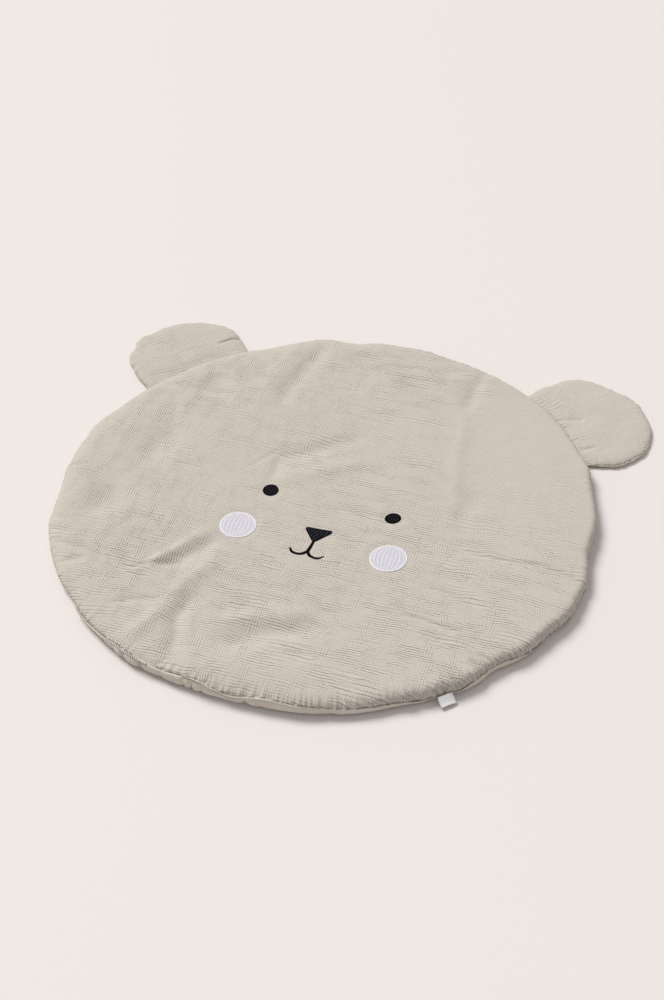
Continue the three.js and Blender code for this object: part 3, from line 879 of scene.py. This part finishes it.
def stitched_patch(mark, outline, stitching, cells):
    """A disc of thread on the front: a raised rim round curved rows. The map holds how far across the
    rows a stitch lies, and how far along them."""
    bm, share, bearing = round_grid(cells)
    reach = outline(bearing) + 0.00018 * rough(bearing, bearing * 0, 1.1, 71.0)
    angle = np.radians(bearing)
    across = share * reach * np.cos(angle)
    along = share * reach * np.sin(angle)
    x = mark.middle[0] + across
    y = mark.middle[1] + along
    from_edge = (1 - share) * reach
    row = stitching.rows(across, along) / stitching.row_gap
    rim = bell(from_edge - stitching.rim_width / 2, stitching.rim_width / 2.2)
    in_rim = from_edge < stitching.rim_width
    rounded = thread_lift * np.clip(from_edge / rounded_edge, 0, 1) ** 0.5
    crown = np.abs(np.cos(row * math.pi)) * stitching.row_depth
    z = head_top(x, y) + rounded + np.where(in_rim, 0, crown) + stitching.rim_depth * rim
    z = z - (1 - np.clip(from_edge / dropped_edge, 0, 1)) * edge_drop
    place_at(bm.verts, x, y, z)
    row_place = np.stack([row * stitching.row_gap, along], -1)
    rim_place = np.stack([from_edge, angle * reach], -1)
    add_maps(bm, rows=row_place, rim=rim_place)
    verts, edges = extruded(bm, open_edges(bm))
    bmesh.ops.translate(bm, verts=verts, vec=(0, 0, -thread_sink))
    bmesh.ops.contextual_create(bm, geom=edges)
    return bm


def satin_thread(name, dark, light, gap, gloss, painted_rim_highlight):
    """Shiny thread laid side by side, with a soft band of painted highlight along each row, a painted
    highlight on the raised rim of pale thread, and a little painted shade across each stitch
    """
    finish = Finish(name)
    rows = finish.map("rows")
    row, along = finish.axes(rows)
    from_edge, around = finish.axes(finish.map("rim"))
    in_rim = 1 - from_edge.between(*thread_rim_ends)
    band = abs(row.wave(2 * gap))
    waver = finish.lumps(rows, (180, 180, 1), 2.0) - 0.5
    row_threads = (along + waver * 0.0006).wave(stitch_gap)
    rim_threads = (around + waver * 0.0003).wave(stitch_gap)
    threads = row_threads * (1 - in_rim) + rim_threads * in_rim
    # Painted sheen: the colour is lightened in a soft band along each row, and each stitch is painted a
    # little lighter and darker; the rim of pale thread is lightened as a painted highlight
    painted_sheen = (band * 0.8 + waver * 0.7).between(0.45, 1.05) * (1 - in_rim)
    shade = painted_sheen + in_rim * painted_rim_highlight + threads * 0.07
    relief = threads * 0.00004 + band * (1 - in_rim) * 0.0001
    return finish.surface(finish.blend(shade, dark, light), roughness=0.5, gloss=gloss, height=relief)


def oval(mark):
    def outline(bearing):
        angle = np.radians(bearing - mark.turn)
        return 1 / np.hypot(np.cos(angle) / mark.half_width, np.sin(angle) / mark.half_height)

    return outline


# Each thread's colour runs from its dark colour to its light one; the light colour is its painted sheen
eye_dark = (0.001, 0.001, 0.0014, 1)
eye_light = (0.022, 0.025, 0.031, 1)
eye_thread = satin_thread("eye_thread", eye_dark, eye_light, gap=0.0054, gloss=0.03, painted_rim_highlight=0)
# The white thread's two colours are a lit and a shaded copy of one pale lilac white: painted sheen and
# highlight, and painted shade between the bands
white_dark = (0.55, 0.53, 0.595, 1)
white_light = (0.76, 0.735, 0.795, 1)
white_thread = satin_thread("white_thread", white_dark, white_light, gap=0.0073, gloss=0.4, painted_rim_highlight=1)

for mark in eyes:
    stitching = eye_rows._replace(rows=rows_between_poles(mark))
    patch = stitched_patch(mark, oval(mark), stitching, cells=60)
    eye = finished(f"{mark.name}_thread", patch, eye_thread)
    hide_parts(mark.name)
for mark in cheeks:
    stitching = cheek_rows._replace(rows=rows_between_poles(mark))
    patch = stitched_patch(mark, oval(mark), stitching, cells=110)
    cheek = finished(f"{mark.name}_thread", patch, white_thread)
    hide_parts(mark.name)

# The nose is a three-cornered patch of black satin stitch with rounded corners, its rows curved about
# the left corner
nose_sides = [(92.5, 0.0128), (217.4, 0.0158), (-39.1, 0.0134)]
nose_rounding = 0.008
nose_corner = (-0.03, 0.016)
nose_stitching = Stitching(
    row_gap=0.0052, row_depth=0.0003, rim_width=0.0026, rim_depth=0.0004, rows=rows_about(nose_corner)
)


def nose_outline(bearing):
    lengths = np.linspace(0.004, 0.045, 800)
    past = np.zeros((len(bearing), len(lengths)))
    for side, distance in nose_sides:
        out = np.cos(np.radians(bearing - side))[:, None] * lengths
        past += np.clip(out - distance + nose_rounding, 0, None) ** 2
    inside = past < nose_rounding**2
    return lengths[inside.sum(1) - 1]


# The black thread's blue-grey light colour is its painted sheen
black_dark = (0.0012, 0.0012, 0.0016, 1)
black_light = (0.04, 0.045, 0.06, 1)
black_thread = satin_thread("black_thread", black_dark, black_light, gap=0.0054, gloss=0.03, painted_rim_highlight=0)
nose_patch = stitched_patch(nose_mark, nose_outline, nose_stitching, cells=70)
nose = finished("nose_thread", nose_patch, black_thread)
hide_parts("nose")

# The mouth is one narrow line of black satin stitch: a stem from the nose, wider at its foot, and two
# arcs that taper to their ends
mouth_strokes = [
    ([(0.003, -0.1165), (0.0015, -0.132), (-0.001, -0.148)], [0.0046, 0.0058, 0.0074]),
    (
        [(-0.001, -0.1455), (-0.008, -0.153), (-0.018, -0.156), (-0.0265, -0.1535), (-0.0325, -0.145)],
        [0.0056, 0.006, 0.0058, 0.0054, 0.0034],
    ),
    (
        [(-0.001, -0.1455), (0.006, -0.154), (0.015, -0.1575), (0.023, -0.1565), (0.03, -0.1495)],
        [0.0056, 0.006, 0.006, 0.005, 0.0022],
    ),
]
mouth_height = 0.0011


def smooth_run(rows, count):
    """Reads evenly through rows of numbers as one smooth run"""
    rows = np.array(rows, float)
    slopes = np.gradient(rows, axis=0)
    place = np.linspace(0, len(rows) - 1, count)
    low = np.minimum(place.astype(int), len(rows) - 2)
    t = (place - low).reshape(-1, *[1] * (rows.ndim - 1))
    ends = rows[low] * (2 * t**3 - 3 * t**2 + 1) + rows[low + 1] * (3 * t**2 - 2 * t**3)
    return ends + slopes[low] * (t**3 - 2 * t**2 + t) + slopes[low + 1] * (t**3 - t**2)


line_steps = 60
line_sides = 14
line_in_rim = 0.001


def stitched_line(bm, places, widths):
    """A closed rounded line of thread that follows the front"""
    places = smooth_run(places, line_steps)
    widths = smooth_run(widths, line_steps)
    runs = np.gradient(places, axis=0)
    lengths = np.concatenate([[0], np.cumsum(np.hypot(*np.diff(places, axis=0).T))])
    rows_layer = bm.loops.layers.uv.get("rows") or bm.loops.layers.uv.new("rows")
    rim_layer = bm.loops.layers.uv.get("rim") or bm.loops.layers.uv.new("rim")
    made = bmesh.ops.create_circle(bm, cap_ends=True, segments=line_sides, radius=1)["verts"]
    edges = [edge for edge in bm.edges if edge.verts[0] in made]
    ring = {vert: math.atan2(vert.co.y, vert.co.x) for vert in made}
    lay = {}

    def place_ring(ring, index):
        side = Vector((runs[index][1], -runs[index][0])).normalized()
        for vert, turn in ring.items():
            out = math.cos(turn) * widths[index] / 2
            vert.co = (places[index][0] + side.x * out, places[index][1] + side.y * out, 0)
            lay[vert] = (lengths[index], turn)

    place_ring(ring, 0)
    for index in range(1, line_steps):
        verts, edges = extruded(bm, edges)
        ring = carried(verts, ring)
        place_ring(ring, index)
    bmesh.ops.contextual_create(bm, geom=edges)
    x, y = flat_places(lay)
    for vert, height in zip(lay, head_top(x, y)):
        rise = math.sin(lay[vert][1])
        vert.co.z = height + (mouth_height if rise > 0 else thread_sink * 0.5) * rise
    for face in bm.faces:
        for loop in face.loops:
            if loop.vert in lay:
                length, turn = lay[loop.vert]
                loop[rows_layer].uv = (0.0, length)
                loop[rim_layer].uv = (line_in_rim, length)


mouth_line = bmesh.new()
for places, widths in mouth_strokes:
    stitched_line(mouth_line, places, widths)
mouth = finished("mouth_thread", mouth_line, black_thread)
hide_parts("mouth")

# The label is a short loop of white woven ribbon, folded once with its ends caught in the seam. It
# hangs out of the seam and its fold rests near the floor; its face is left bare.
label_middle = (0.295, -0.3673, 0.0122)
label_length = 0.016
label_width = 0.0272
label_gap = 0.0007
label_sag = 0.0075
label_bearing = math.radians(-48)
ribbon_thickness = 0.0004
label_cells = (10, 46)


def ribbon_loop():
    """A strip that leaves the seam, turns round at its fold and goes back under itself"""
    bm, (side, along) = grid(*label_cells, 0.5)
    out_share = 1 - np.abs(along * 2)
    layer_side = np.where(along < 0, 1, -1)
    sag = -label_sag * np.sin(out_share * math.pi / 2) ** 1.3
    bow = 0.0008 * np.cos(side * math.pi) - 0.0012 * side * out_share
    loop_end = np.sqrt(np.clip(1 - np.clip((out_share - 0.9) / 0.1, 0, None) ** 2, 0, None))
    gap = (label_gap + 0.0006 * np.sin(out_share * 3)) * layer_side * loop_end
    out = label_length * out_share
    across = label_width * side
    x = label_middle[0] + out * math.cos(label_bearing) - across * math.sin(label_bearing)
    y = label_middle[1] + out * math.sin(label_bearing) + across * math.cos(label_bearing)
    place_at(bm.verts, x, y, label_middle[2] + sag + bow + gap)
    add_maps(bm, cloth=np.stack([across, along * 2 * label_length], -1))
    return bm


ribbon_yarn = 0.0006
# How wide the band along each long edge is, from where it starts to where it is full; it is raised a little
# and darkened as painted shade
edge_band_width = 0.0014
edge_band_end = 0.0006
ribbon_dark = (0.5, 0.49, 0.5, 1)
ribbon_light = (0.86, 0.85, 0.86, 1)


def woven_ribbon():
    finish = Finish("woven_ribbon")
    x, y = finish.axes(finish.map("cloth"))
    twill = (x + y).wave(ribbon_yarn)
    # Painted shade: the colour is darkened in a band along each long edge
    edge_band = abs(x).between(label_width / 2 - edge_band_width, label_width / 2 - edge_band_end)
    shade = 0.8 + 0.1 * twill - 0.35 * edge_band
    relief = twill * 0.00002 + edge_band * 0.00012
    colour = finish.blend(shade, ribbon_dark, ribbon_light)
    return finish.surface(colour, roughness=0.55, gloss=0.45, height=relief)


label = finished("label_ribbon", ribbon_loop(), woven_ribbon())
thicken(label, ribbon_thickness, 0)
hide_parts("label")

# The zip is a fine coil on a woven tape, sewn into the seam along the lower left edge. The part that
# shows is closed; the rest runs on under a folded strip of gauze.
zip_from = 227.0
zip_to = 248.5
tooth_gap = 0.0037
tooth_size = (0.0044, 0.0022, 0.0018)
tooth_turn = -1.0
tooth_stand = 0.002
tooth_slant = 0.25
zip_reach = 0.493
end_gap = 0.3


def rim_place(pad, bearing, turn, stand):
    """A place that stands off the rim, square to it"""
    bearing = np.asarray(bearing, float)
    turn = np.asarray(turn, float) + 0 * bearing
    step = 1.5
    above = np.stack(pad.section(bearing, turn + step), -1)
    below = np.stack(pad.section(bearing, turn - step), -1)
    place = np.stack(pad.section(bearing, turn), -1)
    angle = np.radians(bearing)
    out = np.stack([np.cos(angle), np.sin(angle), 0 * angle], -1)
    up = above - below
    up = up / np.linalg.norm(up, axis=-1, keepdims=True)
    normal = out - up * np.sum(out * up, -1, keepdims=True)
    normal = normal / np.linalg.norm(normal, axis=-1, keepdims=True)
    return place + normal * np.asarray(stand)[..., None], normal, up


def folded_share(across):
    """Where a strip folded double lies: 1 at both its long edges, 0 at the fold along its middle"""
    return np.abs(2 * across - 1)


def rim_strip(pad, start, end, upper, lower, stand, cells, width, lie=None):
    """A strip along the rim, from one bearing to another, between two turns off the seam"""
    bm, flat = grid(*cells, 0.5)
    along, across = flat + 0.5
    bearing = start + (end - start) * along
    share = lie(across) if lie else across
    off = lower(bearing) + (upper - lower(bearing)) * share
    places, _, _ = rim_place(pad, bearing, pad.seam(bearing) + off, stand(bearing, across))
    place_at(bm.verts, *places.T)
    cloth = np.stack([np.radians(bearing) * pad.reach(bearing), across * width], -1)
    add_maps(bm, cloth=cloth, pull=[plain_pull] * len(bm.verts))
    return bm


tape_thickness = 0.0006
zip_tape = rim_strip(
    head,
    zip_from,
    zip_to,
    upper=-0.5,
    lower=lambda bearing: -5 - 1 * np.sin(np.radians(bearing * 9)),
    stand=lambda bearing, share: 0.001 + 0.0006 * share * (1 - share),
    cells=(200, 8),
    width=0.006,
)
bmesh.ops.solidify(zip_tape, geom=zip_tape.faces[:], thickness=tape_thickness)
tooth_count = int(math.radians(zip_to - zip_from) * zip_reach / tooth_gap)
for index in range(tooth_count):
    bearing = zip_from + end_gap + (zip_to - zip_from - 2 * end_gap) * index / (tooth_count - 1)
    place, normal, up = rim_place(head, bearing, float(head.seam(bearing)) + tooth_turn, tooth_stand)
    up = Vector(up)
    normal = Vector(normal)
    side = normal.cross(up)
    slant = (up + side * tooth_slant).normalized()
    side = normal.cross(slant).normalized()
    made = bmesh.ops.create_uvsphere(zip_tape, u_segments=8, v_segments=6, radius=0.5)["verts"]
    tooth_axes = Matrix((slant, side, normal)).transposed().to_4x4()
    stretch = Matrix.Diagonal((*tooth_size, 1))
    bmesh.ops.transform(zip_tape, matrix=Matrix.Translation(place) @ tooth_axes @ stretch, verts=made)


tape_rib = 0.0012
tape_dark = (0.15, 0.125, 0.105, 1)
coil_light = (0.84, 0.79, 0.73, 1)


def coil_and_tape():
    """The teeth have no pull in their map, which tells them from the tape"""
    finish = Finish("zip_coil_and_tape")
    in_tape = finish.axes(finish.map("pull"))[0].between(0.1, 0.3)
    ribs = finish.axes(finish.map("cloth"))[0].wave(tape_rib)
    colour = finish.blend(1 - in_tape * 0.75 + ribs * 0.08, tape_dark, coil_light)
    return finish.surface(colour, roughness=0.5, gloss=0.4, height=ribs * 0.00006)


zip_chain = finished("zip_coil_and_tape", zip_tape, coil_and_tape())
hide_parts("zip_chain")

# A narrow strip of the gauze, folded double along its length, covers the zip's slider and the rest of
# its coil. Both its long edges are caught in the seam. The fold waves free and stands off the back cloth.
flap_from = 256.0
flap_to = 283.5
flap_width = 0.0052
flap_layer = 0.0005
flap_half_gap = 0.0003
flap_fold_share = 0.12
seam_stand = 0.001
fold_stand = 0.0016
flap_turns = closed_curve([(250, -2), (258, -2), (266, -3), (274, -2), (284, -2), (300, -2)])


def flap_stand(bearing, across):
    """The strip lies close at the seam, and its fold stands off in waves, one layer over the other"""
    share = folded_share(across)
    side = np.sin(np.clip((across - 0.5) / flap_fold_share, -1, 1) * math.pi / 2)
    ends = np.clip((bearing - flap_from) / 2, 0, 1) * np.clip((flap_to - bearing) / 2, 0, 1)
    long_wave = np.sin(np.radians((bearing - flap_from) * 26))
    short_wave = np.sin(np.radians(bearing * 61))
    wave = 0.001 * long_wave + 0.0008 * short_wave
    return seam_stand + ends * (1 - share) * (fold_stand + 0.6 * wave) + side * flap_half_gap


flap = rim_strip(
    head,
    flap_from,
    flap_to,
    upper=1.5,
    lower=flap_turns,
    stand=flap_stand,
    cells=(280, 16),
    width=flap_width,
    lie=folded_share,
)
zip_flap = finished("zip_flap_cloth", flap, gauze)
thicken(zip_flap, flap_layer, 0)
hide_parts("zip_flap")

# The mat lies on a plain pale floor, in soft light from high on the far left, and is seen from its
# lower edge, steeply from above
floor_mesh, _ = grid(1, 1, 12)
floor_data = bpy.data.meshes.new("floor")
floor_mesh.to_mesh(floor_data)
floor_mesh.free()
floor = added("floor", floor_data)
floor_colour = (0.69, 0.655, 0.64, 1)
floor_data.materials.append(Finish("pale_floor").surface(floor_colour, roughness=0.7, gloss=0.5))

key_height = 48
key_bearing = 150
sun_data = bpy.data.lights.new("key", "SUN")
sun_data.energy = 2.95
sun_data.angle = math.radians(26)
sun_data.color = (1.0, 0.985, 0.96)
sun = added("key", sun_data)
sun.rotation_euler = Euler((math.radians(90 - key_height), 0, math.radians(key_bearing + 90)))

world = bpy.data.worlds.new("studio")
world.use_nodes = True
background = world.node_tree.nodes["Background"].inputs
background["Color"].default_value = (1.0, 0.98, 0.97, 1)
background["Strength"].default_value = 0.52
bpy.context.scene.world = world
bpy.context.scene.view_settings.view_transform = "Standard"

camera_place = (0.5055, -1.7149, 1.7744)
camera_down = 44.5
camera_turn = 16.4
camera_data = bpy.data.cameras.new("camera")
camera_data.lens = 50
camera_data.sensor_width = 36
camera = added("camera", camera_data)
camera.location = camera_place
camera.rotation_euler = Euler((math.radians(90 - camera_down), 0, math.radians(camera_turn)))
bpy.context.scene.camera = camera
